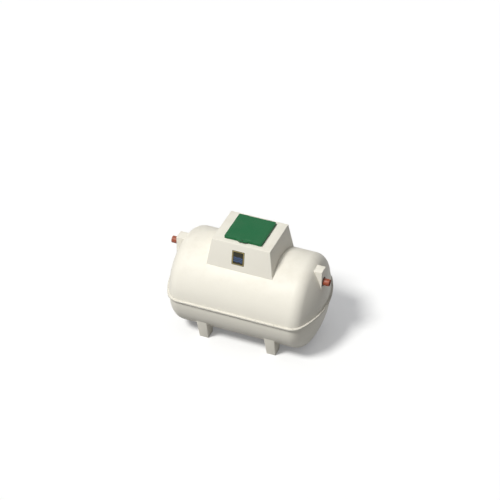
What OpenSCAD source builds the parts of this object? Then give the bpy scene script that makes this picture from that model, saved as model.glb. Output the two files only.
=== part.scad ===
// Horizontal glass-fibre septic tank: two half mouldings joined at a flange, with dished heads,
// a tapered access turret with a hinged lid, pipe pockets at both ends and four moulded feet.
// Millimetres. X runs along the tank from the inlet to the outlet, Z is up, and the origin is on
// the ground under the middle of the tank.

/* [Barrel] */
// Outside radius of the barrel
barrel_r = 745; // [600:5:900]
// Length of the straight barrel between the tangent lines of the two heads
barrel_len = 1780; // [1500:2:3000]
// Thickness of the moulded wall
wall = 10; // [6:1:16]
// Gap between the ground and the bottom of the barrel
ground_gap = 35; // [20:1:200]

/* [Heads] */
// Outside radius of the wide crown of each head
crown_r = 1355; // [1200:5:1800]
// Outside radius of the knuckle between crown and barrel
knuckle_r = 205; // [120:5:300]

/* [Flange] */
// How far the joint flange stands out from the wall
flange_w = 30; // [24:1:60]
// Thickness of the flange on each half moulding
flange_t = 12; // [8:1:20]
// Radius of each lifting hole through the flange
lift_hole_r = 7; // [5:0.5:10]
// Distance of each lifting hole from the long centre line
lift_hole_y = 465; // [300:5:500]

/* [Turret] */
// Length of the turret's flat top along the tank
turret_len = 932; // [760:2:1200]
// Width of the turret's flat top across the tank
turret_wide = 756; // [740:2:860]
// Height of the turret's top above the top of the barrel
turret_up = 300; // [240:5:600]
// Draft angle of the turret's four sides
turret_draft = 8.8; // [4:0.1:10]
// Thickness of the turret's top plate
turret_top_t = 12; // [8:1:20]

/* [Access opening] */
// Side of the square opening in the turret's top
opening = 540; // [450:5:570]
// Corner radius of the opening
opening_corner = 30; // [10:1:60]
// Thickness of the rim that stands up around the opening
rim_t = 8; // [5:1:14]
// Thickness of the rubber seal on the rim
seal_t = 6; // [3:1:10]

/* [Lid] */
// Side of the square lid
lid = 600; // [590:5:640]
// Height of the lid over its skirt
lid_h = 46; // [36:1:70]
// Thickness of the lid's plate and skirt
lid_t = 6; // [4:0.5:9]
// Corner radius of the lid
lid_corner = 14; // [12:1:60]
// Height of the skirt's lower edge above the turret's top
lid_gap = 5; // [5:0.5:10]
// Width of the raised field's border on top of the lid
lid_border = 24; // [10:1:60]
// Height of the raised field on top of the lid
lid_field_h = 3; // [1:0.5:6]
// How far the lifting tab stands out from the lid's front
tab_out = 38; // [25:1:60]
// Length of the lifting tab along its tip
tab_tip = 110; // [80:1:200]
// Length of the lifting tab where it leaves the lid
tab_root = 215; // [160:1:320]
// Height of the lifting tab
tab_h = 18; // [12:1:30]
// Radius of the lock's barrel in the tab
lock_r = 11; // [7:0.5:14]

/* [Hinges] */
// Distance between the two hinges
hinge_apart = 380; // [240:5:480]
// Distance of the hinge pins behind the lid
hinge_back = 17; // [15:0.5:24]
// Height of the hinge pins above the turret's top
hinge_up = 20; // [18:0.5:26]
// Radius of each hinge pin
pin_r = 5; // [3:0.5:7]
// Length of each hinge knuckle on the lid
knuckle_len = 34; // [20:1:60]
// Thickness of each fixed ear
ear_t = 8; // [5:0.5:14]
// Thickness of the hinge's base plate
base_t = 4; // [3:0.5:6]

/* [Pipes] */
// Outside radius of the drain pipes
pipe_r = 55; // [40:1:60]
// Wall thickness of the drain pipes
pipe_wall = 3.2; // [2:0.1:6]
// How far each pipe stands out from its pocket
pipe_out = 100; // [80:5:200]
// How far each pipe runs in behind its pocket's face
pipe_in = 90; // [60:5:160]
// Depth of the inlet pipe's centre below the top of the barrel
inlet_down = 210; // [180:1:245]
// Depth of the outlet pipe's centre below the top of the barrel
outlet_down = 305; // [230:1:315]
// How far the collar stands out from each pipe where it passes through its pocket
collar_out = 5; // [3:0.5:8]
// Thickness of the rubber ring around each collar
ring_t = 6; // [4:0.5:8]
// How far the rubber ring's lip overlaps the pocket
ring_lip = 8; // [4:1:12]

/* [Pockets] */
// Width of the flat pocket that each pipe passes through
pocket_w = 172; // [160:2:240]
// Depth of the pocket's top below the top of the barrel
pocket_down = 85; // [40:5:90]
// Distance of the pocket's face behind the top of the head
pocket_back = 44; // [32:1:46]

/* [Feet] */
// Distance between the feet along the tank
feet_apart = 1110; // [900:2:1200]
// Width of each foot at the ground
foot_w = 146; // [100:2:200]
// Draft angle of each foot's sides
foot_draft = 2; // [0:0.5:5]
// Distance of each foot's outer edge from the centre line, at the ground
foot_out = 530; // [440:5:540]
// Depth of each foot at the ground
foot_deep = 170; // [120:5:220]
// Outward lean of each foot's outer face
foot_lean = 14; // [0:1:15]
// Inward lean of each foot's inner face
foot_inner_lean = 4; // [0:1:8]

/* [Hidden] */
half_len = barrel_len / 2;
axis_h = ground_gap + barrel_r;
// Running and seating clearances
rest_gap = 0.3;
ring_gap = 0.2;
pin_gap = 0.06;
side_gap = 1.5;
// Overlap of one cutting solid past the surface that it cuts
cut = 2;
// Distance from the tangent line back to the centre of the crown
crown_c = sqrt(pow(crown_r - knuckle_r, 2) - pow(barrel_r - knuckle_r, 2));
// Angle on the crown at which the knuckle starts
crown_angle = asin((barrel_r - knuckle_r) / (crown_r - knuckle_r));
crown_steps = 7;
knuckle_steps = 9;
head_deep = crown_r - crown_c;
face_x = half_len + head_deep - pocket_back;
// Heights above the barrel's axis
turret_h = barrel_r + turret_up;
inlet_h = barrel_r - inlet_down;
outlet_h = barrel_r - outlet_down;
pocket_h = barrel_r - pocket_down;
// Slope of the turret's sides, and the wall measured along the horizontal
slope = tan(turret_draft);
turret_wall = wall / cos(turret_draft);
// Angle up the barrel at which the turret's inner face meets it
turret_angle = turret_draft
    + acos((turret_wide / 2 - turret_wall + turret_h * slope) * cos(turret_draft) / barrel_r);
// Lower limit of the turret's block, inside the barrel
turret_low = barrel_r * sin(turret_angle) - 8 * wall;
turret_z = axis_h + turret_h;
rim_h = lid_gap + lid_h - lid_t - seal_t - rest_gap;
lid_z = turret_z + lid_gap;
hinge_y = lid / 2 + hinge_back;
hinge_z = turret_z + hinge_up;
knuckle_out = 2 * pin_r - 1;
ear_out = 2 * pin_r + 1;
lower_split = 60;
lift_hole_x = half_len - crown_c + sqrt(pow(crown_r + flange_w / 2, 2) - pow(lift_hole_y, 2));
// Bottom of the pocket's hollow, where its inner face meets the outside of the head
pocket_low = sqrt(pow(crown_r, 2) - pow(crown_c + head_deep - pocket_back - wall, 2)) + 8;
collar_r = pipe_r + collar_out;
ring_r = collar_r + ring_t;
lock_seat = 4;

$fn = 96;

// ---- shared shapes ----

// Outline of a head from its pole to the tangent line, grown outwards: [distance from the axis, depth]
function head_outline(grow) = concat(
    [for (i = [0 : crown_steps]) let (a = crown_angle * i / crown_steps)
        [(crown_r + grow) * sin(a), (crown_r + grow) * cos(a) - crown_c]],
    [for (i = [1 : knuckle_steps])
        let (a = crown_angle + (90 - crown_angle) * i / knuckle_steps)
        [barrel_r - knuckle_r + (knuckle_r + grow) * sin(a), (knuckle_r + grow) * cos(a)]]
);
function backwards(list) = [for (i = [len(list) - 1 : -1 : 0]) list[i]];

// Everything inside works in the tank's frame, with the barrel's axis at height zero
module at_axis() {
    translate([0, 0, axis_h]) children();
}

// Mirrors the outlet's parts to the inlet's end
module at_end(end) {
    if (end == "inlet") mirror([1, 0, 0]) children();
    else children();
}

// Section of the barrel's wall between two angles, counted up from the front
module wall_section(from, to) {
    reach = 2 * barrel_r;
    mid = (from + to) / 2;
    intersection() {
        difference() {
            circle(barrel_r, $fn = 180);
            circle(barrel_r - wall, $fn = 180);
        }
        polygon([[0, 0], for (a = [from, mid, to]) [-reach * cos(a), reach * sin(a)]]);
    }
}

// Section of the straight flange strip; back is 1 on the back and -1 on the front
module flange_section(side, back) {
    y0 = back > 0 ? barrel_r - wall / 2 : -barrel_r - flange_w;
    translate([y0, side == "upper" ? 0 : -flange_t]) square([flange_w + wall / 2, flange_t]);
}

// Runs a section along the tank between two places
module along(x0, x1) {
    translate([x0, 0, 0]) rotate([90, 0, 90]) linear_extrude(x1 - x0) children();
}

// Solid of half a head, or of half its wall, above or below the flange's joint
module half_head(side, points) {
    translate([half_len, 0, 0]) rotate([0, 90, 0]) rotate([0, 0, side == "upper" ? 90 : -90])
        rotate_extrude(angle = 180) polygon(points);
}

// Flange around one end, on the upper or the lower half
module end_flange(side) {
    translate([half_len, 0, side == "upper" ? 0 : -flange_t]) linear_extrude(flange_t)
        difference() {
            polygon([for (s = [1, -1]) each
                (s > 0 ? [for (p = backwards(head_outline(flange_w))) [p[1], p[0]]]
                       : [for (p = head_outline(flange_w)) [p[1], -p[0]]])]);
            polygon([for (s = [1, -1]) each
                (s > 0 ? [for (p = backwards(head_outline(-wall / 2))) [p[1], p[0]]]
                       : [for (p = head_outline(-wall / 2)) [p[1], -p[0]]])]);
        }
}

module lift_holes() {
    for (y = [-1, 1])
        translate([lift_hole_x, y * lift_hole_y, -flange_t - cut])
            cylinder(r = lift_hole_r, h = 2 * (flange_t + cut));
}

// A square with round corners, centred
module round_square(side, corner) {
    square([side, side - 2 * corner], center = true);
    square([side - 2 * corner, side], center = true);
    for (x = [-1, 1], y = [-1, 1])
        translate([x * (side / 2 - corner), y * (side / 2 - corner)]) circle(corner);
}

// ---- turret ----

// Side view of the turret between two heights, narrowed by inset all round
module turret_side(size, inset, low, high) {
    top = size / 2 - inset + (turret_h - high) * slope;
    base = size / 2 - inset + (turret_h - low) * slope;
    polygon([[-base, low], [base, low], [top, high], [-top, high]]);
}

// Bar of that side view running across the tank (along Y)
module turret_across(inset, low, high) {
    translate([0, barrel_r, 0]) rotate([90, 0, 0]) linear_extrude(2 * barrel_r)
        turret_side(turret_len, inset, low, high);
}

// Bar of that side view running along the tank (along X)
module turret_along(inset, low, high) {
    translate([-barrel_r, 0, 0]) rotate([90, 0, 90]) linear_extrude(2 * barrel_r)
        turret_side(turret_wide, inset, low, high);
}

module turret_block(low, high) {
    intersection() {
        turret_across(0, low, high);
        turret_along(0, low, high);
    }
}

module barrel_solid() {
    translate([-half_len, 0, 0]) rotate([0, 90, 0])
        cylinder(r = barrel_r, h = barrel_len, $fn = 360);
}

// Front wall with back = -1, back wall with back = 1
module turret_long_wall(back) {
    color("ivory") at_axis() difference() {
        turret_block(turret_low, turret_h - turret_top_t);
        turret_along(turret_wall, turret_low - cut, turret_h + cut);
        barrel_solid();
        translate([-barrel_r, back > 0 ? -2 * barrel_r : 0, 0])
            cube([2 * barrel_r, 2 * barrel_r, 2 * turret_h]);
    }
}

module turret_end_wall(end) {
    color("ivory") at_axis() at_end(end) difference() {
        intersection() {
            turret_across(0, turret_low, turret_h - turret_top_t);
            turret_along(turret_wall, turret_low, turret_h - turret_top_t);
        }
        turret_across(turret_wall, turret_low - cut, turret_h + cut);
        barrel_solid();
        translate([-2 * barrel_r, -barrel_r, 0]) cube([2 * barrel_r, 2 * barrel_r, 2 * turret_h]);
    }
}

module turret_top() {
    color("ivory") at_axis() difference() {
        turret_block(turret_h - turret_top_t, turret_h);
        translate([0, 0, turret_h - turret_top_t - cut]) linear_extrude(turret_top_t + 2 * cut)
            round_square(opening, opening_corner);
    }
}

module opening_rim() {
    color("ivory") translate([0, 0, turret_z]) linear_extrude(rim_h) difference() {
        round_square(opening + 2 * rim_t, opening_corner + rim_t);
        round_square(opening, opening_corner);
    }
}

module opening_seal() {
    color("black") translate([0, 0, turret_z + rim_h]) linear_extrude(seal_t) difference() {
        round_square(opening + 2 * rim_t, opening_corner + rim_t);
        round_square(opening, opening_corner);
    }
}

// ---- shells ----

module upper_shell_side(back) {
    color("ivory") at_axis() along(-half_len, half_len) {
        if (back > 0) wall_section(180 - turret_angle, 180);
        else wall_section(0, turret_angle);
        flange_section("upper", back);
    }
}

// Strip of the upper barrel on one side of the turret
module upper_shell_crown(end) {
    color("ivory") at_axis() at_end(end) difference() {
        along(0, half_len) wall_section(turret_angle, 180 - turret_angle);
        turret_across(turret_wall, 0, turret_h);
    }
}

module lower_shell_side(back) {
    color("gainsboro") at_axis() along(-half_len, half_len) {
        if (back > 0) wall_section(180, 180 + lower_split);
        else wall_section(-lower_split, 0);
        flange_section("lower", back);
    }
}

module lower_shell_bottom() {
    color("gainsboro") at_axis() along(-half_len, half_len)
        wall_section(180 + lower_split, 360 - lower_split);
}

function head_wall() = concat(head_outline(0), backwards(head_outline(-wall)));
function head_inside() = concat([[0, 0]], head_outline(-wall));

// Box that squares off the head around the pipe, before the head's own hollow is taken out
module pocket_block(inset, low, back) {
    translate([half_len, -pocket_w / 2 + inset, low])
        cube([face_x - half_len - back, pocket_w - 2 * inset, pocket_h - inset - low]);
}

module head_upper(end, pipe_h) {
    color("ivory") at_axis() at_end(end) difference() {
        union() {
            half_head("upper", head_wall());
            end_flange("upper");
            difference() {
                pocket_block(0, pocket_low / 2, 0);
                half_head("upper", head_inside());
            }
        }
        pocket_block(wall, pocket_low, wall);
        translate([half_len, 0, pipe_h]) rotate([0, 90, 0])
            cylinder(r = ring_r + ring_gap, h = 2 * head_deep);
        lift_holes();
    }
}

module head_lower(end) {
    color("gainsboro") at_axis() at_end(end) difference() {
        union() {
            half_head("lower", head_wall());
            end_flange("lower");
        }
        lift_holes();
    }
}

// ---- pipes ----

// Plain pipe with a collar where it passes through the pocket, flush with the rubber ring
module drain_pipe(end, pipe_h) {
    color("sienna") at_axis() at_end(end) translate([face_x - pipe_in, 0, pipe_h])
        rotate([0, 90, 0]) difference() {
            union() {
                cylinder(r = pipe_r, h = pipe_in + pipe_out);
                translate([0, 0, pipe_in - wall]) cylinder(r = collar_r, h = wall + ring_t);
            }
            translate([0, 0, -cut])
                cylinder(r = pipe_r - pipe_wall, h = pipe_in + pipe_out + 2 * cut);
        }
}

// Rubber ring that seals the pipe in its pocket's face, with a lip outside
module pipe_ring(end, pipe_h) {
    color("dimgray") at_axis() at_end(end) translate([face_x - wall, 0, pipe_h])
        rotate([0, 90, 0]) difference() {
            union() {
                cylinder(r = ring_r, h = wall);
                translate([0, 0, wall]) cylinder(r = ring_r + ring_lip, h = ring_t);
            }
            translate([0, 0, -cut]) cylinder(r = collar_r + ring_gap, h = wall + ring_t + 2 * cut);
        }
}

// ---- feet ----

// Section of a foot across the tank, on the front, running up into the barrel
module foot_section() {
    rise = axis_h - barrel_r / 2;
    polygon([
        [-foot_out, 0],
        [-foot_out + foot_deep, 0],
        [-foot_out + foot_deep + rise * tan(foot_inner_lean), rise],
        [-foot_out - rise * tan(foot_lean), rise]
    ]);
}

module foot_front_view() {
    rise = axis_h - barrel_r / 2;
    half = foot_w / 2;
    spread = rise * tan(foot_draft);
    polygon([[-half, 0], [half, 0], [half + spread, rise], [-half - spread, rise]]);
}

module foot(end, back) {
    color("gainsboro") at_end(end) mirror([0, back > 0 ? 1 : 0, 0]) difference() {
        intersection() {
            translate([feet_apart / 2 - foot_w, 0, 0]) rotate([90, 0, 90])
                linear_extrude(2 * foot_w) foot_section();
            translate([feet_apart / 2, 0, 0]) rotate([90, 0, 0])
                linear_extrude(2 * foot_out) foot_front_view();
        }
        at_axis() barrel_solid();
    }
}

// ---- lid ----

module lid_panel() {
    color("seagreen") translate([0, 0, lid_z]) difference() {
        union() {
            linear_extrude(lid_h - lid_field_h) round_square(lid, lid_corner);
            translate([0, 0, lid_h - lid_field_h]) linear_extrude(lid_field_h)
                round_square(lid - 2 * lid_border, lid_corner);
        }
        translate([0, 0, -cut]) linear_extrude(lid_h - lid_t + cut)
            round_square(lid - 2 * lid_t, lid_corner - lid_t);
    }
}

// Outline of the lifting tab on the lid's front edge, with its tip narrower than its root
module tab_outline() {
    round = tab_out / 3;
    polygon([
        [-tab_root / 2, 0], [-tab_tip / 2 - round, -tab_out + round], [-tab_tip / 2, -tab_out],
        [tab_tip / 2, -tab_out], [tab_tip / 2 + round, -tab_out + round], [tab_root / 2, 0]
    ]);
}

module lid_tab() {
    tab_z = lid_z + lid_h - lid_field_h - tab_h;
    color("seagreen") translate([0, -lid / 2, tab_z]) difference() {
        linear_extrude(tab_h) tab_outline();
        translate([0, -tab_out / 2, tab_h - lock_seat]) cylinder(r = lock_r + ring_gap, h = tab_h);
        translate([0, -tab_out / 2, -cut]) cylinder(r = lock_r / 2 + ring_gap, h = tab_h);
    }
}

// Key barrel in the tab, with the shank of its latch below
module lid_lock() {
    tab_z = lid_z + lid_h - lid_field_h - tab_h;
    shank = lock_r / 2;
    color("silver") translate([0, -lid / 2 - tab_out / 2, 0]) difference() {
        union() {
            translate([0, 0, tab_z + tab_h - lock_seat]) cylinder(r = lock_r, h = lock_seat + 2);
            translate([0, 0, tab_z - 2]) cylinder(r = shank, h = tab_h);
        }
        translate([-lock_r / 2, -1, tab_z + tab_h]) cube([lock_r, 2, 2 * cut]);
    }
}

// ---- hinges ----

module at_hinge(end) {
    translate([end == "inlet" ? -hinge_apart / 2 : hinge_apart / 2, hinge_y, hinge_z]) children();
}

// Cylinder along X, centred
module bar(r, h) {
    translate([-h / 2, 0, 0]) rotate([0, 90, 0]) cylinder(r = r, h = h);
}

module lid_knuckle(end) {
    color("seagreen") at_hinge(end) difference() {
        union() {
            bar(knuckle_out, knuckle_len);
            translate([-knuckle_len / 2, -hinge_back, -knuckle_out])
                cube([knuckle_len, hinge_back, 2 * knuckle_out - 2]);
        }
        bar(pin_r + pin_gap, knuckle_len + 2 * cut);
    }
}

// Base plate with two ears, one on each side of the knuckle
module hinge_bracket(end) {
    outer = knuckle_len + 2 * (side_gap + ear_t);
    color("silver") at_hinge(end) difference() {
        union() {
            for (x = [-1, 1]) translate([x * (outer - ear_t) / 2, 0, 0]) {
                bar(ear_out, ear_t);
                translate([-ear_t / 2, -ear_out, -hinge_up]) cube([ear_t, 2 * ear_out, hinge_up]);
            }
            translate([-outer / 2, -ear_out, -hinge_up]) cube([outer, 4 * ear_out, base_t]);
        }
        bar(pin_r + pin_gap, outer + 2 * cut);
    }
}

module hinge_pin(end) {
    outer = knuckle_len + 2 * (side_gap + ear_t);
    color("silver") at_hinge(end) {
        bar(pin_r, outer + 2);
        translate([outer / 2 + 2, 0, 0]) bar(pin_r * 1.6, 3);
    }
}

// ---- parts by name ----

upper_shell_side(-1);  // upper_shell_front
upper_shell_side(1);  // upper_shell_back
upper_shell_crown("inlet");  // upper_shell_inlet_crown
upper_shell_crown("outlet");  // upper_shell_outlet_crown
head_upper("inlet", inlet_h);  // inlet_head_upper
head_upper("outlet", outlet_h);  // outlet_head_upper
lower_shell_side(-1);  // lower_shell_front
lower_shell_bottom();
lower_shell_side(1);  // lower_shell_back
head_lower("inlet");  // inlet_head_lower
head_lower("outlet");  // outlet_head_lower
turret_long_wall(-1);  // turret_front_wall
turret_long_wall(1);  // turret_back_wall
turret_end_wall("inlet");  // turret_inlet_wall
turret_end_wall("outlet");  // turret_outlet_wall
turret_top();
opening_rim();
opening_seal();
lid_panel();
lid_tab();
lid_lock();
lid_knuckle("inlet");  // lid_knuckle_inlet_side
lid_knuckle("outlet");  // lid_knuckle_outlet_side
hinge_bracket("inlet");  // hinge_bracket_inlet_side
hinge_bracket("outlet");  // hinge_bracket_outlet_side
hinge_pin("inlet");  // hinge_pin_inlet_side
hinge_pin("outlet");  // hinge_pin_outlet_side
drain_pipe("inlet", inlet_h);  // inlet_pipe
drain_pipe("outlet", outlet_h);  // outlet_pipe
pipe_ring("inlet", inlet_h);  // inlet_pipe_ring
pipe_ring("outlet", outlet_h);  // outlet_pipe_ring
foot("inlet", -1);  // front_inlet_foot
foot("outlet", -1);  // front_outlet_foot
foot("inlet", 1);  // back_inlet_foot
foot("outlet", 1);  // back_outlet_foot
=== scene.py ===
"""Horizontal glass-fibre septic tank: mouldings, lid, pipes, fastenings, finishes and stage."""

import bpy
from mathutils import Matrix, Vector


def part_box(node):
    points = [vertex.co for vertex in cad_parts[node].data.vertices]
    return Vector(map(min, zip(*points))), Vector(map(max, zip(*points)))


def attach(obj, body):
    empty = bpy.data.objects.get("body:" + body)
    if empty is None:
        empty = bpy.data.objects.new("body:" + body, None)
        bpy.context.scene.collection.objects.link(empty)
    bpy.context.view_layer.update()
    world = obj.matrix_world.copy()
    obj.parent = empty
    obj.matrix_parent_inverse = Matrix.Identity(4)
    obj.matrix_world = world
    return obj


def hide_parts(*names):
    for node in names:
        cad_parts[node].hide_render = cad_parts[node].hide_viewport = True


bl_info = {
    "name": "Septic tank",
    "version": (1, 0, 0),
    "blender": (4, 5, 0),
    "location": "3D View > Sidebar > Septic tank",
    "description": "Builds the detailed pieces and the finishes of a horizontal septic tank",
    "category": "Object",
}

from math import asin, cos, pi, radians, sin, sqrt, tan

import bmesh
import bpy
from bpy.props import FloatProperty, FloatVectorProperty, IntProperty, PointerProperty
from mathutils import Matrix, Vector

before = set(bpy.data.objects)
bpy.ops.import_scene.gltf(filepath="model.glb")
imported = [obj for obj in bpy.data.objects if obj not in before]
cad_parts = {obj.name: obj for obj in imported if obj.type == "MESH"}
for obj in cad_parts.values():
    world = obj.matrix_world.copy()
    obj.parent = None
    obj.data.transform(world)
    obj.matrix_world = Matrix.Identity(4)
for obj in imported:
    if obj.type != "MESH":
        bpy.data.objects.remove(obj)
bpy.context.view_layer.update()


# ---- sizes that follow from the CAD frame, in metres ----

BARREL_LOW, BARREL_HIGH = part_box("lower_shell_bottom")
SIDE_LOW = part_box("upper_shell_front")[0]
TOP_LOW, TOP_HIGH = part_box("turret_top")
RIM_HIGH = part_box("opening_rim")[1]
LID_LOW, LID_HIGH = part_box("lid_panel")
TAB_LOW, TAB_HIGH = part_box("lid_tab")
HALF_LENGTH = BARREL_HIGH.x
AXIS_HEIGHT = SIDE_LOW.z
BARREL_RADIUS = AXIS_HEIGHT - BARREL_LOW.z
FLANGE_WIDTH = -SIDE_LOW.y - BARREL_RADIUS
AXIS = Vector((0, 0, AXIS_HEIGHT))
X, Z = Vector((1, 0, 0)), Vector((0, 0, 1))
ORIGIN = Vector((0, 0, 0))

# ---- details of the mouldings and the pieces on them, in metres ----

CROWN_STEPS = 20
KNUCKLE_STEPS = 14
FLANGE_ROOT = 0.010
FLANGE_EDGE = 0.0035
FLANGE_CHAMFER = 0.0015
LIFTING_HOLE_RADIUS = 0.007
LIFTING_HOLE_Y = 0.465
POCKET_HALF_WIDTH = 0.086
POCKET_TOP = BARREL_RADIUS - 0.085
RIM_WALL = 0.008
OPENING_CORNER = 0.030
PIPE_RADIUS, PIPE_BORE = 0.055, 0.0518
COLLAR_RADIUS, COLLAR_CHAMFER = 0.060, 0.002
RING_RADIUS = 0.066
LID_CORNER = 0.014
LID_WALL = 0.006
LID_BORDER_DROP = 0.005
TREAD_HEIGHT = 0.0018
FIELD_MARGIN, TREAD_MARGIN = 0.020, 0.0425
TAB_TIP = 0.055
LOCK_CLEARANCE = 0.0006
PLATE_WIDTH, PLATE_HEIGHT, PLATE_THICKNESS = 0.200, 0.238, 0.0012
PLATE_X, PLATE_DROP = -0.030, 0.228
INK_THICKNESS = 0.0003
WAVE_WIDTH, WAVE_RISE, WAVE_STEPS = 0.010, 0.006, 28
WAVE_BASES = (-0.060, -0.030, 0.000)

# Material slots of the two mouldings.
OUTSIDE, INSIDE, FLANGE, FOOT = range(4)

UPPER_NODES = (
    "upper_shell_front", "upper_shell_back", "upper_shell_inlet_crown", "upper_shell_outlet_crown",
    "inlet_head_upper", "outlet_head_upper", "turret_front_wall", "turret_back_wall",
    "turret_inlet_wall", "turret_outlet_wall", "turret_top",
)
FEET = ("front_inlet_foot", "front_outlet_foot", "back_inlet_foot", "back_outlet_foot")
LOWER_NODES = (
    "lower_shell_front", "lower_shell_bottom", "lower_shell_back",
    "inlet_head_lower", "outlet_head_lower",
) + FEET


def length_property(name, description, default):
    return FloatProperty(name=name, description=description, default=default, unit="LENGTH")


def angle_property(name, description, default):
    return FloatProperty(name=name, description=description, default=default, subtype="ANGLE")


def colour_property(name, description, default):
    return FloatVectorProperty(name=name, description=description, default=default,
                               subtype="COLOR", size=3)


class TankSizes(bpy.types.PropertyGroup):
    """Sizes of the mouldings and of the small pieces on them"""

    crown_radius: length_property(
        "Crown radius", "Outside radius of the wide crown of each head", 1.355)
    knuckle_radius: length_property(
        "Knuckle radius", "Outside radius of the knuckle of each head", 0.205)
    wall: length_property("Wall", "Thickness of the moulded wall", 0.010)
    flange_thickness: length_property(
        "Flange thickness", "Thickness of the flange on each moulding", 0.012)
    turret_draft: angle_property("Turret draft", "Slope of the turret's sides", radians(8.8))
    mould_edge: length_property(
        "Mould edge", "Radius of the outer edges of the turret, pockets and feet", 0.007)
    foot_lean: angle_property("Foot lean", "Outward lean of each foot's outer face", radians(14))
    foot_inner_lean: angle_property(
        "Foot inner lean", "Inward lean of each foot's inner face", radians(4))
    foot_draft: angle_property("Foot draft", "Slope of each foot's two sides", radians(2))
    foot_depth: length_property("Foot depth", "Depth of each foot at the ground", 0.170)
    foot_width: length_property("Foot width", "Width of each foot at the ground", 0.146)
    bolt_pitch: length_property(
        "Bolt pitch", "Distance between the bolts along the joint flange", 0.150)
    tread_count: IntProperty(
        name="Tread bars", description="Number of tread bars in each row on the lid",
        default=15, min=5, max=25)


class TankColours(bpy.types.PropertyGroup):
    """Colours of the finishes"""

    gelcoat: colour_property("Gel coat", "Cream gel coat of the mouldings", (0.86, 0.83, 0.745))
    laminate: colour_property(
        "Laminate", "Bare glass-fibre laminate inside the tank", (0.55, 0.54, 0.45))
    lid: colour_property("Lid", "Green of the lid", (0.009, 0.122, 0.042))
    pipe: colour_property("Pipe", "Terracotta of the drain pipes", (0.30, 0.062, 0.024))
    rubber: colour_property("Rubber", "Black rubber of the seals", (0.018, 0.018, 0.018))
    steel: colour_property(
        "Steel", "Stainless steel of the hinges and bolts", (0.58, 0.58, 0.56))


def sizes():
    return bpy.context.scene.tank_sizes


def colours():
    return bpy.context.scene.tank_colours


# ---- node groups and finishes ----

def link(tree, source, target):
    tree.links.new(source, target)


def new_group(name, inputs, outputs):
    """Empty shader group with its sockets; each entry is (name, kind, default)."""
    group = bpy.data.node_groups.new(name, "ShaderNodeTree")
    for in_out, entries in (("INPUT", inputs), ("OUTPUT", outputs)):
        for socket_name, kind, default in entries:
            socket = group.interface.new_socket(
                name=socket_name, in_out=in_out, socket_type="NodeSocket" + kind)
            if default is not None:
                socket.default_value = default
    group_in = group.nodes.new("NodeGroupInput")
    group_out = group.nodes.new("NodeGroupOutput")
    return group, group_in, group_out


def noise_node(tree, position, scale, detail=3.0, roughness=0.5):
    node = tree.nodes.new("ShaderNodeTexNoise")
    node.inputs["Detail"].default_value = detail
    node.inputs["Roughness"].default_value = roughness
    link(tree, position, node.inputs["Vector"])
    if isinstance(scale, (int, float)):
        node.inputs["Scale"].default_value = scale
    else:
        link(tree, scale, node.inputs["Scale"])
    return node.outputs["Fac"]


def math_node(tree, operation, first, second=0.0, clamp=False):
    node = tree.nodes.new("ShaderNodeMath")
    node.operation = operation
    node.use_clamp = clamp
    for socket, value in zip(node.inputs, (first, second)):
        if isinstance(value, (int, float)):
            socket.default_value = value
        else:
            link(tree, value, socket)
    return node.outputs[0]


def range_node(tree, value, low, high, to_low=0.0, to_high=1.0):
    node = tree.nodes.new("ShaderNodeMapRange")
    node.interpolation_type = "SMOOTHSTEP"
    link(tree, value, node.inputs["Value"])
    for name, number in (("From Min", low), ("From Max", high),
                         ("To Min", to_low), ("To Max", to_high)):
        node.inputs[name].default_value = number
    return node.outputs["Result"]


def mix_node(tree, amount, first, second):
    node = tree.nodes.new("ShaderNodeMix")
    node.data_type = "RGBA"
    for name, value in (("Factor", amount), ("A", first), ("B", second)):
        socket = next(s for s in node.inputs if s.name == name and s.enabled)
        if hasattr(value, "links"):
            link(tree, value, socket)
        elif name == "Factor":
            socket.default_value = value
        else:
            socket.default_value = (*value, 1.0) if len(value) == 3 else value
    return next(s for s in node.outputs if s.enabled)


def stretched(tree, position, scale, rotation=(0.0, 0.0, 0.0)):
    """Coordinates that draw a pattern out along one direction."""
    mapping = tree.nodes.new("ShaderNodeMapping")
    mapping.inputs["Rotation"].default_value = rotation
    mapping.inputs["Scale"].default_value = scale
    link(tree, position, mapping.inputs["Vector"])
    return mapping.outputs[0]


def waviness_group():
    """Soft waves of a hand-laid moulding with fine orange peel on top."""
    group, inside, out = new_group(
        "moulded_waves",
        [("Position", "Vector", None), ("Wave Scale", "Float", 3.0), ("Peel Scale", "Float", 400.0),
         ("Peel Share", "Float", 0.1)],
        [("Height", "Float", None)])
    wave = noise_node(group, inside.outputs["Position"], inside.outputs["Wave Scale"], 2.0)
    peel = noise_node(group, inside.outputs["Position"], inside.outputs["Peel Scale"], 2.0)
    fine = math_node(group, "MULTIPLY", peel, inside.outputs["Peel Share"])
    link(group, math_node(group, "ADD", wave, fine), out.inputs["Height"])
    return group


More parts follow.
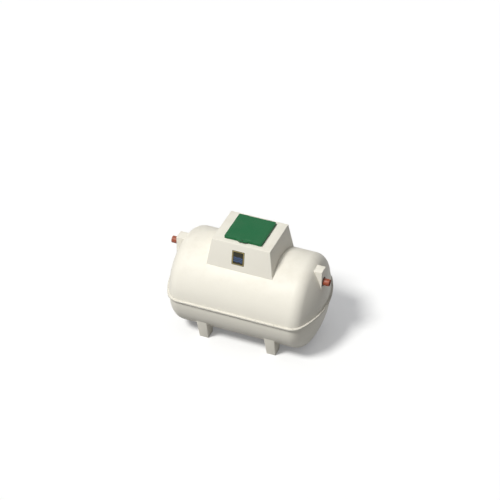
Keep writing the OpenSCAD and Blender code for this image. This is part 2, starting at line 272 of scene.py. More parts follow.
def dust_and_shade_group():
    """Dust on upward faces, painted shade on downward ones and faint mottling everywhere."""
    group, inside, out = new_group(
        "dust_and_under_shade",
        [("Position", "Vector", None), ("Colour", "Color", (0.8, 0.8, 0.8, 1)),
         ("Dust Colour", "Color", (0.45, 0.40, 0.32, 1)), ("Dust", "Float", 0.2),
         ("Mottle", "Float", 0.05), ("Roughness", "Float", 0.3), ("Splash", "Float", 0.0)],
        [("Colour", "Color", None), ("Roughness", "Float", None)])
    position = inside.outputs["Position"]
    split = group.nodes.new("ShaderNodeSeparateXYZ")
    link(group, group.nodes.new("ShaderNodeNewGeometry").outputs["Normal"], split.inputs[0])
    upward = range_node(group, split.outputs["Z"], 0.2, 1.0)
    downward = range_node(group, split.outputs["Z"], -0.33, -0.82)
    cloud = range_node(group, noise_node(group, position, 5.0, 6.0, 0.62), 0.38, 0.75)
    patch = noise_node(group, position, 2.2, 4.0, 0.55)
    ragged = range_node(group, patch, 0.2, 0.8, 0.75, 1.0)
    shade = math_node(group, "SUBTRACT", 0.5, patch)

    def share(first, second, name):
        product = math_node(group, "MULTIPLY", first, second)
        return math_node(group, "MULTIPLY", product, inside.outputs[name], clamp=True)

    dust = share(upward, cloud, "Dust")
    mottled = mix_node(group, share(shade, 2.0, "Mottle"), inside.outputs["Colour"],
                       (0.30, 0.27, 0.20))
    dusty = mix_node(group, dust, mottled, inside.outputs["Dust Colour"])
    # Painted shade: faces that point down turn darker, in ragged patches.
    dusty_and_shaded = mix_node(group, share(downward, ragged, "Splash"), dusty, (0.30, 0.27, 0.21))
    link(group, dusty_and_shaded, out.inputs["Colour"])
    rough = math_node(group, "ADD", inside.outputs["Roughness"],
                      math_node(group, "MULTIPLY", dust, 0.5), clamp=True)
    spread = math_node(group, "MULTIPLY", shade, -0.18)
    link(group, math_node(group, "ADD", rough, spread, clamp=True), out.inputs["Roughness"])
    return group


def strands_group():
    """Short crossing fibres of a chopped-strand mat."""
    group, inside, out = new_group(
        "chopped_strands",
        [("Position", "Vector", None), ("Scale", "Float", 30.0)],
        [("Strands", "Float", None)])
    total = None
    for turn in (0.0, 1.1, 2.2):
        drawn_out = stretched(group, inside.outputs["Position"], (1.0, 9.0, 9.0),
                              (turn, turn * 0.7, turn * 1.3))
        streak = noise_node(group, drawn_out, inside.outputs["Scale"], 2.0)
        line = range_node(group, streak, 0.56, 0.66)
        total = line if total is None else math_node(group, "MAXIMUM", total, line)
    link(group, total, out.inputs["Strands"])
    return group


def place_group(tree, name, builder, position, **values):
    """Places the shared group in a material and sets its inputs."""
    node = tree.nodes.new("ShaderNodeGroup")
    node.node_tree = bpy.data.node_groups.get(name) or builder()
    link(tree, position, node.inputs["Position"])
    for key, value in values.items():
        socket = node.inputs[key.replace("_", " ")]
        if hasattr(value, "links"):
            link(tree, value, socket)
        else:
            socket.default_value = value
    return node


def start_material(name):
    material = bpy.data.materials.new(name)
    material.use_nodes = True
    tree = material.node_tree
    shader = tree.nodes["Principled BSDF"]
    position = tree.nodes.new("ShaderNodeTexCoord").outputs["Object"]
    return material, tree, shader, position


def bump(tree, shader, height, distance, strength=1.0):
    node = tree.nodes.new("ShaderNodeBump")
    node.inputs["Strength"].default_value = strength
    node.inputs["Distance"].default_value = distance
    link(tree, height, node.inputs["Height"])
    link(tree, node.outputs["Normal"], shader.inputs["Normal"])


def dust_and_shade_over(tree, shader, position, **values):
    """Gives a shader its colour and roughness through the group of dust and painted underside
    shade.
    """
    dust = place_group(tree, "dust_and_under_shade", dust_and_shade_group, position, **values)
    link(tree, dust.outputs["Colour"], shader.inputs["Base Color"])
    link(tree, dust.outputs["Roughness"], shader.inputs["Roughness"])


def waves_over(tree, shader, position, depth, **values):
    """Bumps a shader with the waves of a moulding."""
    waves = place_group(tree, "moulded_waves", waviness_group, position, **values)
    bump(tree, shader, waves.outputs["Height"], depth)


def rgba(colour):
    return (*colour, 1.0)


def gelcoat_finish(name="cream_gelcoat", shade=1.0, roughness=0.46):
    material, tree, shader, position = start_material(name)
    # The gel coat's downward faces get painted shade, darker the further down they face.
    dust_and_shade_over(tree, shader, position, Colour=rgba([shade * part for part in colours().gelcoat]),
              Dust_Colour=(0.62, 0.57, 0.46, 1), Dust=0.22, Mottle=0.05, Roughness=roughness,
              Splash=0.78)
    shader.inputs["Specular IOR Level"].default_value = 0.22
    waves_over(tree, shader, position, 0.004, Wave_Scale=3.5, Peel_Scale=260.0, Peel_Share=0.02)
    return material


def laminate_finish():
    material, tree, shader, position = start_material("bare_laminate")
    strands = place_group(tree, "chopped_strands", strands_group, position, Scale=26.0)
    mat = mix_node(tree, strands.outputs["Strands"], rgba(colours().laminate), (0.74, 0.73, 0.64))
    dust_and_shade_over(tree, shader, position, Colour=mat, Dust_Colour=(0.40, 0.38, 0.30, 1), Dust=0.35,
              Mottle=0.25, Roughness=0.42)
    bump(tree, shader, strands.outputs["Strands"], 0.0006)
    return material


def lid_finish():
    material, tree, shader, position = start_material("green_lid")
    dust_and_shade_over(tree, shader, position, Colour=rgba(colours().lid), Dust_Colour=(0.07, 0.17, 0.09, 1),
              Dust=0.10, Mottle=0.06, Roughness=0.55)
    shader.inputs["Specular IOR Level"].default_value = 0.25
    waves_over(tree, shader, position, 0.0012, Wave_Scale=9.0, Peel_Scale=700.0, Peel_Share=0.35)
    return material


def pipe_finish():
    material, tree, shader, position = start_material("terracotta_pipe")
    draw_lines = noise_node(tree, stretched(tree, position, (0.6, 60.0, 60.0)), 6.0, 3.0)
    lines = range_node(tree, draw_lines, 0.35, 0.75)
    lined = mix_node(tree, math_node(tree, "MULTIPLY", lines, 0.16), rgba(colours().pipe),
                     (0.42, 0.13, 0.06))
    dust_and_shade_over(tree, shader, position, Colour=lined, Dust_Colour=(0.24, 0.12, 0.07, 1), Dust=0.25,
              Mottle=0.15, Roughness=0.42)
    bump(tree, shader, lines, 0.0002)
    return material


def rubber_finish():
    material, tree, shader, position = start_material("black_rubber")
    dust_and_shade_over(tree, shader, position, Colour=rgba(colours().rubber),
              Dust_Colour=(0.13, 0.12, 0.10, 1), Dust=0.5, Mottle=0.2, Roughness=0.62)
    waves_over(tree, shader, position, 0.0003, Wave_Scale=60.0, Peel_Scale=1500.0, Peel_Share=0.5)
    return material


def steel_finish():
    material, tree, shader, position = start_material("stainless_steel")
    brushed = noise_node(tree, stretched(tree, position, (4.0, 180.0, 180.0)), 8.0, 4.0)
    rough = range_node(tree, brushed, 0.3, 0.8, 0.26, 0.46)
    tinted = mix_node(tree, math_node(tree, "MULTIPLY", brushed, 0.3), rgba(colours().steel),
                      (0.42, 0.41, 0.39))
    link(tree, tinted, shader.inputs["Base Color"])
    link(tree, rough, shader.inputs["Roughness"])
    shader.inputs["Metallic"].default_value = 1.0
    bump(tree, shader, brushed, 0.0001)
    return material


def lock_finish():
    material, tree, shader, position = start_material("weathered_lock")
    speckle = noise_node(tree, position, 220.0, 3.0)
    spots = range_node(tree, speckle, 0.45, 0.7)
    link(tree, mix_node(tree, spots, (0.030, 0.034, 0.030), (0.075, 0.070, 0.058)),
         shader.inputs["Base Color"])
    link(tree, range_node(tree, speckle, 0.3, 0.8, 0.42, 0.65), shader.inputs["Roughness"])
    shader.inputs["Metallic"].default_value = 0.6
    return material


def paint_finish(name, colour, roughness=0.35):
    """Screen-printed ink on the plate, with fine speckle."""
    material, tree, shader, position = start_material(name)
    speckle = noise_node(tree, position, 320.0, 2.0)
    worn = math_node(tree, "MULTIPLY", range_node(tree, speckle, 0.5, 0.8), 0.25)
    faded = mix_node(tree, worn, rgba(colour), tuple(0.5 * c + 0.12 for c in colour))
    link(tree, faded, shader.inputs["Base Color"])
    link(tree, range_node(tree, speckle, 0.3, 0.8, roughness, roughness + 0.2),
         shader.inputs["Roughness"])
    shader.inputs["Specular IOR Level"].default_value = 0.3
    return material


FINISHES = {
    "gelcoat": gelcoat_finish,
    # Painted shade: the flanges get a darker copy of the gel coat.
    "flange": lambda: gelcoat_finish("shaded_flange_gelcoat", 0.86, 0.55),
    # Painted light: the feet get a lighter copy of the gel coat.
    "foot": lambda: gelcoat_finish("lightened_foot_gelcoat", 1.06),
    "laminate": laminate_finish,
    "lid": lid_finish,
    "pipe": pipe_finish,
    "rubber": rubber_finish,
    "steel": steel_finish,
    "lock": lock_finish,
    "plate_brown": lambda: paint_finish("plate_brown", (0.024, 0.022, 0.009)),
    "plate_gold": lambda: paint_finish("plate_gold", (0.44, 0.35, 0.13), 0.3),
    "plate_blue": lambda: paint_finish("plate_blue", (0.08, 0.17, 0.42)),
}
made_finishes = {}


def finish_of(name):
    if name not in made_finishes:
        made_finishes[name] = FINISHES[name]()
    return made_finishes[name]


# ---- mesh helpers ----

def loose_object(mesh_name, mesh):
    piece = bpy.data.objects.new(mesh_name, mesh)
    bpy.context.scene.collection.objects.link(piece)
    return piece


def as_piece(name, shape, finishes, body, replaced=(), smooth_to=35.0):
    """Turns a bmesh into a piece of the tank that rides on a body."""
    bmesh.ops.dissolve_degenerate(shape, dist=2e-5, edges=shape.edges)
    for face in shape.faces:
        face.smooth = True
    limit = radians(smooth_to)
    for edge in shape.edges:
        edge.smooth = (len({face.material_index for face in edge.link_faces}) == 1
                       and edge.calc_face_angle(pi) < limit)
    mesh = bpy.data.meshes.new(name)
    shape.to_mesh(mesh)
    shape.free()
    for finish in finishes:
        mesh.materials.append(finish_of(finish))
    piece = loose_object(name, mesh)
    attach(piece, body)
    if replaced:
        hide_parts(*replaced)
    return piece


def outward(shape, join_within=1e-6):
    bmesh.ops.remove_doubles(shape, verts=shape.verts, dist=join_within)
    bmesh.ops.recalc_face_normals(shape, faces=shape.faces)
    return shape


def paint(shape, index):
    for face in shape.faces:
        face.material_index = index
    return shape


def combine(shape, tool, operation):
    """Joins or cuts a closed bmesh with another one, and frees both.

    The empty slots keep the material index of each face through the Boolean.
    """
    parts = []
    for part in (shape, tool):
        mesh = bpy.data.meshes.new("part")
        part.to_mesh(mesh)
        part.free()
        for _ in (OUTSIDE, INSIDE, FLANGE, FOOT):
            mesh.materials.append(None)
        parts.append(loose_object("part", mesh))
    modifier = parts[0].modifiers.new("combine", "BOOLEAN")
    modifier.operation = operation
    modifier.solver = "EXACT"
    modifier.object = parts[1]
    evaluated = parts[0].evaluated_get(bpy.context.evaluated_depsgraph_get())
    result = bmesh.new()
    result.from_mesh(evaluated.to_mesh())
    evaluated.to_mesh_clear()
    if not result.faces:
        raise RuntimeError(f"{operation} left no faces")
    for part in parts:
        mesh = part.data
        bpy.data.objects.remove(part)
        bpy.data.meshes.remove(mesh)
    return result


def absorb(shape, extra, matrix=None):
    """Adds a copy of another bmesh to this one and frees it."""
    mesh = bpy.data.meshes.new("extra")
    extra.to_mesh(mesh)
    extra.free()
    if matrix is not None:
        mesh.transform(matrix)
    shape.from_mesh(mesh)
    bpy.data.meshes.remove(mesh)
    return shape


def tapered_box(low, high, low_half, high_half, low_centre=(0, 0), high_centre=(0, 0)):
    """Closed block between two heights with its own half sizes at the bottom and the top."""
    shape = bmesh.new()
    bmesh.ops.create_cube(shape, size=2.0)
    for vert in shape.verts:
        top = vert.co.z > 0
        half, centre = (high_half, high_centre) if top else (low_half, low_centre)
        vert.co = Vector((centre[0] + vert.co.x * half[0], centre[1] + vert.co.y * half[1],
                          high if top else low))
    return shape


def round_edges(shape, chosen, radius, segments=3):
    edges = [edge for edge in shape.edges if chosen(edge)]
    bmesh.ops.bevel(shape, geom=edges, offset=radius, segments=segments, profile=0.5,
                    affect="EDGES", clamp_overlap=True, material=-1)
    return shape


def upright(edge):
    direction = (edge.verts[0].co - edge.verts[1].co).normalized()
    return abs(direction.z) > 0.9


def at_height(height, tolerance=1e-4):
    return lambda edge: all(abs(v.co.z - height) < tolerance for v in edge.verts)


def cylinder(radius, low, high, axis, centre, segments=48, end_radius=None):
    """Closed cylinder or cone along an axis, from low to high."""
    shape = bmesh.new()
    turn = Z.rotation_difference(axis).to_matrix().to_4x4()
    middle = Matrix.Translation(centre) @ turn @ Matrix.Translation((0, 0, (low + high) / 2))
    bmesh.ops.create_cone(shape, cap_ends=True, segments=segments, radius1=radius,
                          radius2=radius if end_radius is None else end_radius,
                          depth=high - low, matrix=middle)
    return shape


def turned(points, axis, centre, segments=64):
    """Solid turned on a lathe: points are (distance along the axis, radius), a closed section."""
    shape = bmesh.new()
    side = axis.orthogonal().normalized()
    verts = [shape.verts.new(centre + axis * along + side * radius) for along, radius in points]
    edges = [shape.edges.new((verts[i - 1], verts[i])) for i in range(len(verts))]
    bmesh.ops.spin(shape, geom=verts + edges, cent=centre, axis=axis, dvec=(0, 0, 0),
                   angle=2 * pi, steps=segments, use_merge=True)
    return outward(shape)


def made_verts(made):
    return [item for item in made["geom"] if isinstance(item, bmesh.types.BMVert)]


def pull_edges(shape, edges, vec):
    """Extrudes edges along a vector, and returns the far ones."""
    made = bmesh.ops.extrude_edge_only(shape, edges=edges)
    moved = made_verts(made)
    bmesh.ops.translate(shape, verts=moved, vec=vec)
    return [item for item in made["geom"] if isinstance(item, bmesh.types.BMEdge)
            and all(v in moved for v in item.verts)]


def pull_faces(shape, faces, vec):
    """Extrudes faces along a vector."""
    made = bmesh.ops.extrude_face_region(shape, geom=faces)
    bmesh.ops.translate(shape, verts=made_verts(made), vec=vec)


def pull_cap(shape, cap, vec):
    """Extrudes one face along a vector, and leaves nothing where it was."""
    pull_faces(shape, [cap], vec)
    if cap.is_valid:
        bmesh.ops.delete(shape, geom=[cap], context="FACES_ONLY")


def swing(shape, geom, centre, angle, steps, kind):
    """Spins geometry about an upright axis, and returns the last items of that kind."""
    made = bmesh.ops.spin(shape, geom=geom, cent=centre, axis=Z, dvec=(0, 0, 0), angle=angle,
                          steps=steps, use_merge=False)
    return [item for item in made["geom_last"] if isinstance(item, kind)]


def head_arcs():
    """Centre X of a head's crown, centre Y of its knuckle, and the angle that each takes up."""
    size = sizes()
    knuckle_y = BARREL_RADIUS - size.knuckle_radius
    reach = size.crown_radius - size.knuckle_radius
    crown_angle = asin(knuckle_y / reach)
    crown_x = HALF_LENGTH - sqrt(reach ** 2 - knuckle_y ** 2)
    return crown_x, knuckle_y, crown_angle, pi / 2 - crown_angle


def end_arcs(way):
    """Knuckle, crown and knuckle round the outlet (1) or inlet (-1) end at the joint's height.

    Each arc is its centre, its radius at the wall, its angle and its number of steps.
    """
    size = sizes()
    crown_x, knuckle_y, crown_angle, knuckle_turn = head_arcs()
    near, far = (
        (Vector((way * HALF_LENGTH, y, AXIS_HEIGHT)), size.knuckle_radius, knuckle_turn,
         KNUCKLE_STEPS) for y in (-way * knuckle_y, way * knuckle_y))
    crown = (Vector((way * crown_x, 0, AXIS_HEIGHT)), size.crown_radius, 2 * crown_angle,
             2 * CROWN_STEPS)
    return near, crown, far


def half_tank(side, grow, steps=112):
    """Closed upper (side 1) or lower (side -1) half of the plain tank, grown by a distance."""
    crown_x, knuckle_y, crown_angle, knuckle_turn = head_arcs()
    shape = bmesh.new()
    end = [shape.verts.new((crown_x + sizes().crown_radius + grow, 0, AXIS_HEIGHT))]
    crown = (crown_x, 0, crown_angle, CROWN_STEPS)
    knuckle = (HALF_LENGTH, -knuckle_y, knuckle_turn, KNUCKLE_STEPS)
    for way, arcs in ((1, (crown, knuckle)), (-1, (knuckle, crown))):
        for x, y, angle, count in arcs:
            end = swing(shape, end, (way * x, y, AXIS_HEIGHT), -angle, count, bmesh.types.BMVert)
        if way > 0:
            end = bmesh.ops.extrude_vert_indiv(shape, verts=end)["verts"]
            bmesh.ops.translate(shape, verts=end, vec=(-2 * HALF_LENGTH, 0, 0))
    bmesh.ops.spin(shape, geom=shape.verts[:] + shape.edges[:], cent=AXIS, axis=X,
                   dvec=(0, 0, 0), angle=-side * pi, steps=steps, use_merge=False)
    bmesh.ops.remove_doubles(shape, verts=shape.verts, dist=1e-6)
    rim = [edge for edge in shape.edges if edge.is_boundary]
    bmesh.ops.contextual_create(shape, geom=rim)
    return outward(shape)


def hollow_of(side):
    """Inside of that half, run a little past the joint so that it cuts cleanly."""
    shape = half_tank(side, -sizes().wall)
    pull_cap(shape, max(shape.faces, key=lambda face: face.calc_area()), (0, 0, -side * 0.02))
    return paint(outward(shape), INSIDE)


def flange_ring(side):
    """Joint flange of one half, with a soft root and rounded edges, swept round the tank."""
    size = sizes()
    top, inner = size.flange_thickness, -size.wall / 2
    section = [(inner, 0.0), (FLANGE_WIDTH - FLANGE_CHAMFER, 0.0), (FLANGE_WIDTH, FLANGE_CHAMFER)]
    section += [(FLANGE_WIDTH - FLANGE_EDGE * (1 - cos(a)), top - FLANGE_EDGE * (1 - sin(a)))
                for a in (0.0, pi / 6, pi / 3, pi / 2)]
    section += [(FLANGE_ROOT * (1 - sin(a)), top + FLANGE_ROOT * (1 - cos(a)))
                for a in (0.0, pi / 8, pi / 4, 3 * pi / 8, pi / 2)]
    section += [(inner, top + FLANGE_ROOT)]
    shape = bmesh.new()
    verts = [shape.verts.new((-HALF_LENGTH, -BARREL_RADIUS - out, AXIS_HEIGHT + side * up))
             for out, up in section]
    loop = [shape.edges.new((verts[i - 1], verts[i])) for i in range(len(verts))]
    for way in (1, -1):
        loop = pull_edges(shape, loop, (way * 2 * HALF_LENGTH, 0, 0))
        for centre, _, angle, steps in end_arcs(way):
            verts = list(dict.fromkeys(v for edge in loop for v in edge.verts))
            loop = swing(shape, verts + loop, centre, angle, steps, bmesh.types.BMEdge)
    outward(shape, 5e-5)
    hole_x = head_arcs()[0] + sqrt(
        (size.crown_radius + FLANGE_WIDTH / 2) ** 2 - LIFTING_HOLE_Y ** 2)
    for x in (-hole_x, hole_x):
        for y in (-LIFTING_HOLE_Y, LIFTING_HOLE_Y):
            tool = cylinder(LIFTING_HOLE_RADIUS, -0.05, 0.05, Z, Vector((x, y, AXIS_HEIGHT)), 32)
            shape = combine(shape, tool, "DIFFERENCE")
    return shape


def turret_halves(height, inset):
    """Half length and half width of the turret at a height."""
    slope = tan(sizes().turret_draft)
    grow = (TOP_LOW.z - height) * slope - inset
    return TOP_HIGH.x + grow, TOP_HIGH.y + grow


def rounded_square(side, corner, low, high, segments=8):
    half = side / 2
    shape = tapered_box(low, high, (half, half), (half, half))
    return round_edges(shape, upright, corner, segments)


def pocket_faces():
    """Face of each pocket along X, and the height of each pipe."""
    inlet_z, outlet_z = (sum(corner.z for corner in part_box(name)) / 2
                         for name in ("inlet_pipe", "outlet_pipe"))
    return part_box("outlet_pipe_ring")[0].x + sizes().wall, inlet_z, outlet_z


def pocket_block(way, far_x, low, high, half_width):
    """Block from the end of the barrel out to a distance along X, at heights above the axis."""
    middle, half = way * (HALF_LENGTH + far_x) / 2, (far_x - HALF_LENGTH) / 2
    return tapered_box(AXIS_HEIGHT + low, AXIS_HEIGHT + high, (half, half_width),
                       (half, half_width), (middle, 0), (middle, 0))


def upper_half_shape():
    """Upper half with its turret and pipe pockets, hollowed from inside, without the flange."""
    size = sizes()
    wall, edge = size.wall, size.mould_edge
    shape = half_tank(1, 0.0)
    base = AXIS_HEIGHT + 0.55 * BARREL_RADIUS
    turret = tapered_box(base, TOP_HIGH.z, turret_halves(base, 0), turret_halves(TOP_HIGH.z, 0))
    round_edges(turret, upright, edge * 1.4, 4)
    round_edges(turret, at_height(TOP_HIGH.z), edge, 3)
    shape = combine(shape, turret, "UNION")
    face_x, inlet_z, outlet_z = pocket_faces()
    foot = sqrt(size.crown_radius ** 2 - (face_x - head_arcs()[0]) ** 2)
    for way in (-1, 1):
        block = pocket_block(way, face_x, foot * 0.6, POCKET_TOP, POCKET_HALF_WIDTH)
        round_edges(block, upright, edge, 3)
        round_edges(block, at_height(AXIS_HEIGHT + POCKET_TOP), edge, 3)
        shape = combine(shape, block, "UNION")
    shape = combine(shape, hollow_of(1), "DIFFERENCE")
    inset = wall / cos(size.turret_draft)
    inner = tapered_box(base - 0.1, TOP_LOW.z, turret_halves(base - 0.1, inset),
                        turret_halves(TOP_LOW.z, inset))
    shape = combine(shape, paint(inner, INSIDE), "DIFFERENCE")
    for way, pipe_z in ((-1, inlet_z), (1, outlet_z)):
        block = pocket_block(way, face_x - wall, foot + wall, POCKET_TOP - wall,
                             POCKET_HALF_WIDTH - wall)
        shape = combine(shape, paint(block, INSIDE), "DIFFERENCE")
        hole = cylinder(RING_RADIUS, 0, 0.1, X, Vector((way * face_x - 0.05, 0, pipe_z)), 64)
        shape = combine(shape, hole, "DIFFERENCE")
    side = 2 * (RIM_HIGH.x - RIM_WALL)
    opening = rounded_square(side, OPENING_CORNER, TOP_LOW.z - 0.05, TOP_HIGH.z + 0.05)
    return combine(shape, opening, "DIFFERENCE")


def lower_half_shape():
    """Lower half with its four feet, hollowed from inside, without the flange."""
    size = sizes()
    shape = half_tank(-1, 0.0)
    rise = AXIS_HEIGHT - BARREL_RADIUS / 2
    for name in FEET:
        low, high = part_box(name)
        middle_x = (low.x + high.x) / 2
        way = 1 if low.y > 0 else -1
        outer_low = max(abs(low.y), abs(high.y)) - (high.z - low.z) * tan(size.foot_lean)
        outer_top = outer_low + rise * tan(size.foot_lean)
        inner_low = outer_low - size.foot_depth
        inner_top = inner_low - rise * tan(size.foot_inner_lean)
        half_low = size.foot_width / 2
        half_top = half_low + rise * tan(size.foot_draft)
        foot = tapered_box(0, rise, (half_low, (outer_low - inner_low) / 2),
                           (half_top, (outer_top - inner_top) / 2),
                           (middle_x, way * (outer_low + inner_low) / 2),
                           (middle_x, way * (outer_top + inner_top) / 2))
        round_edges(foot, lambda edge: not at_height(rise)(edge), size.mould_edge, 3)
        shape = combine(shape, paint(outward(foot), FOOT), "UNION")
    return combine(shape, hollow_of(-1), "DIFFERENCE")


class SEPTIC_OT_upper_moulding(bpy.types.Operator):
    """Build the upper moulding with its heads, turret, pipe pockets and flange"""

    bl_idname = "septic.upper_moulding"
    bl_label = "Upper moulding"

    def execute(self, context):
        shape = upper_half_shape()
        absorb(shape, paint(flange_ring(1), FLANGE))
        as_piece("upper_moulding", shape, ("gelcoat", "laminate", "flange"), "tank",
                 UPPER_NODES)
        return {"FINISHED"}


class SEPTIC_OT_lower_moulding(bpy.types.Operator):
    """Build the lower moulding with its heads, feet and flange"""

    bl_idname = "septic.lower_moulding"
    bl_label = "Lower moulding"

    def execute(self, context):
        shape = lower_half_shape()
        absorb(shape, paint(flange_ring(-1), FLANGE))
        as_piece("lower_moulding", shape, ("gelcoat", "laminate", "flange", "foot"), "tank",
                 LOWER_NODES)
        return {"FINISHED"}


# ---- fastenings ----

BOLT_LINE = 0.60
WASHER_RADIUS, WASHER_THICKNESS = 0.0062, 0.0012
NUT_RADIUS, NUT_TOP = 0.0052, 0.0050
SHANK_RADIUS, SHANK_TIP_RADIUS = 0.0029, 0.0024
NUT_TURN = 3.7


def round_the_flange(out, pitch):
    """Places and headings at an even pitch along the flange, at a distance from the wall."""
    runs = []
    for way in (1, -1):
        corner = Vector((-way * HALF_LENGTH, -way * (BARREL_RADIUS + out), 0))
        runs.append((2 * HALF_LENGTH, corner, 0.0, way * pi / 2))
        heading = -way * pi / 2
        for centre, radius, angle, _ in end_arcs(way):
            runs.append(((radius + out) * angle, centre, radius + out, heading))
            heading += angle
    total = sum(run[0] for run in runs)
    count = round(total / pitch)
    places = []
    for index in range(count):
        distance = (index + 0.5) * total / count
        for length, origin, radius, heading in runs:
            if distance <= length:
                break
            distance -= length
        if radius:
            heading += distance / radius
            place = origin + Vector((cos(heading), sin(heading), 0)) * radius
        else:
            place = origin + X * (sin(heading) * distance)
        places.append((place, heading))
    return places


class SEPTIC_OT_flange_bolts(bpy.types.Operator):
    """Place bolts, washers and nuts along the joint flange"""

    bl_idname = "septic.flange_bolts"
    bl_label = "Flange bolts"

    def execute(self, context):
        size = sizes()
        top = AXIS_HEIGHT + size.flange_thickness
        bottom = AXIS_HEIGHT - size.flange_thickness
        washer = [(0.0, 0.003), (0.0, WASHER_RADIUS), (0.0009, WASHER_RADIUS),
                  (WASHER_THICKNESS, 0.0058), (WASHER_THICKNESS, 0.003)]
        shape = bmesh.new()
        for place, heading in round_the_flange(FLANGE_WIDTH * BOLT_LINE, size.bolt_pitch):
            turn = Matrix.Rotation(heading * NUT_TURN, 4, "Z")
            for z, way in ((top, 1), (bottom, -1)):
                spot = Matrix.Translation((place.x, place.y, z))
                absorb(shape, turned(washer, Z * way, ORIGIN, 16), spot)
                nut = cylinder(NUT_RADIUS, WASHER_THICKNESS, NUT_TOP, Z * way, ORIGIN, 6)
                round_edges(nut, lambda edge: not upright(edge), 0.0006, 1)
                absorb(shape, nut, spot @ turn)
            absorb(shape, cylinder(SHANK_RADIUS, 0.0045, 0.0075, -Z,
                                   Vector((place.x, place.y, bottom)), 10, SHANK_TIP_RADIUS))
        as_piece("flange_bolts", outward(shape), ("steel",), "tank")
        return {"FINISHED"}


# ---- lid ----

def tread_bar():
    """One raised bar of the tread, long in X, with a bevelled top."""
    return tapered_box(0, TREAD_HEIGHT, (0.0125, 0.0034), (0.0105, 0.0018))


def lid_cover_shape():
    """Square cover with a skirt, open below, and a raised field of tread bars."""
    side = LID_HIGH.x * 2
    field = LID_HIGH.z - TREAD_HEIGHT
    border_z = LID_HIGH.z - LID_BORDER_DROP
    shape = rounded_square(side, LID_CORNER, LID_LOW.z, border_z, 8)
    lower = min(shape.faces, key=lambda face: face.calc_center_median().z)
    bmesh.ops.inset_region(shape, faces=[lower], thickness=LID_WALL, use_even_offset=True)
    pull_cap(shape, lower, (0, 0, LID_HIGH.z - LID_WALL - LID_LOW.z))
    outward(shape)
    round_edges(shape, lambda edge: at_height(border_z)(edge)
                and max(abs(edge.verts[0].co.x), abs(edge.verts[0].co.y)) > side / 2 - 0.009,
                0.004, 3)
    raised = rounded_square(side - 2 * FIELD_MARGIN, 0.010, border_z - 0.002, field, 6)
    round_edges(raised, at_height(field), 0.0028, 1)
    shape = combine(shape, raised, "UNION")
    count = sizes().tread_count
    pitch = (side - 2 * TREAD_MARGIN) / count
    for row in range(count):
        for column in range(count):
            x, y = ((index - (count - 1) / 2) * pitch for index in (column, row))
            turn = Matrix.Rotation(pi / 4 if (row + column) % 2 else -pi / 4, 4, "Z")
            absorb(shape, tread_bar(), Matrix.Translation((x, y, field)) @ turn)
    return shape


def lid_tab_shape():
    """Lifting tab with cut corners, rounded edges and a seat for the lock."""
    shape = bmesh.new()
    root, reach, back = TAB_HIGH.x, TAB_HIGH.y - TAB_LOW.y, TAB_HIGH.y
    right = [(TAB_TIP, -reach), (TAB_TIP + reach / 3, -reach * 2 / 3), (root, 0.0), (root, 0.004)]
    corners = [(-x, y) for x, y in reversed(right)] + right
    face = shape.faces.new([shape.verts.new((x, back + y, TAB_LOW.z)) for x, y in corners])
    pull_faces(shape, [face], (0, 0, TAB_HIGH.z - TAB_LOW.z))
    outward(shape)
    round_edges(shape, lambda edge: upright(edge) and edge.verts[0].co.y < back - 0.002, 0.012, 4)
    round_edges(shape, lambda edge: at_height(TAB_HIGH.z)(edge)
                and min(v.co.y for v in edge.verts) < back - 0.001, 0.004, 3)
    low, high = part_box("lid_lock")
    centre = (low + high) / 2
    seat = cylinder((high.x - low.x) / 2 + LOCK_CLEARANCE, -0.0045, 0.02, Z,
                    Vector((centre.x, centre.y, TAB_HIGH.z)), 32)
    return combine(shape, seat, "DIFFERENCE")


class SEPTIC_OT_lid(bpy.types.Operator):
    """Build the square lid with its skirt, raised field, tread and tab"""

    bl_idname = "septic.lid"
    bl_label = "Lid"

    def execute(self, context):
        as_piece("lid_cover", lid_cover_shape(), ("lid",), "lid", ("lid_panel",))
        as_piece("lid_front_tab", lid_tab_shape(), ("lid",), "lid", ("lid_tab",))
        return {"FINISHED"}


# ---- pipes ----

class SEPTIC_OT_pipes(bpy.types.Operator):
    """Build the two pipe stubs with chamfered ends, and their rubber rings"""

    bl_idname = "septic.pipes"
    bl_label = "Pipes and rings"

    def execute(self, context):
        for end, way in (("inlet", -1), ("outlet", 1)):
            low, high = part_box(end + "_pipe")
            ring_low, ring_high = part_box(end + "_pipe_ring")
            length = high.x - low.x
            centre = Vector((high.x if way < 0 else low.x, 0, (low.z + high.z) / 2))
            ring_in = (ring_low.x - low.x) if way > 0 else (high.x - ring_high.x)
            deep = ring_high.x - ring_low.x
            ring_out = ring_in + deep
            section = [(0, PIPE_BORE), (0, PIPE_RADIUS), (ring_in, PIPE_RADIUS),
                       (ring_in, COLLAR_RADIUS), (ring_out - COLLAR_CHAMFER, COLLAR_RADIUS),
                       (ring_out, COLLAR_RADIUS - COLLAR_CHAMFER), (ring_out, PIPE_RADIUS),
                       (length - 0.008, PIPE_RADIUS), (length - 0.002, PIPE_RADIUS - 0.0015),
                       (length, PIPE_RADIUS - 0.0022), (length, PIPE_BORE + 0.0004),
                       (length - 0.0006, PIPE_BORE)]
            as_piece(end + "_drain_pipe", turned(section, X * way, centre, 72), ("pipe",), "tank",
                     (end + "_pipe",))
            wall = sizes().wall
            bore, lip = COLLAR_RADIUS + 0.0002, (ring_high.z - ring_low.z) / 2
            section = [(0, bore), (0, RING_RADIUS), (wall + 0.0001, RING_RADIUS),
                       (wall + 0.0001, lip - 0.0012), (wall + 0.0014, lip), (deep - 0.0022, lip),
                       (deep - 0.0006, lip - 0.0014), (deep, lip - 0.0034), (deep, bore)]
            ring = turned(section, X * way, centre + X * way * ring_in, 72)
            as_piece(end + "_rubber_ring", ring, ("rubber",), "tank",
                     (end + "_pipe_ring",))
        return {"FINISHED"}


# ---- label plate ----

def slab(width, height, low, high, radius):
    """Upright block on the plate's middle, with rounded corners."""
    half = (width / 2, height / 2)
    return round_edges(tapered_box(low, high, half, half), upright, radius, 4)


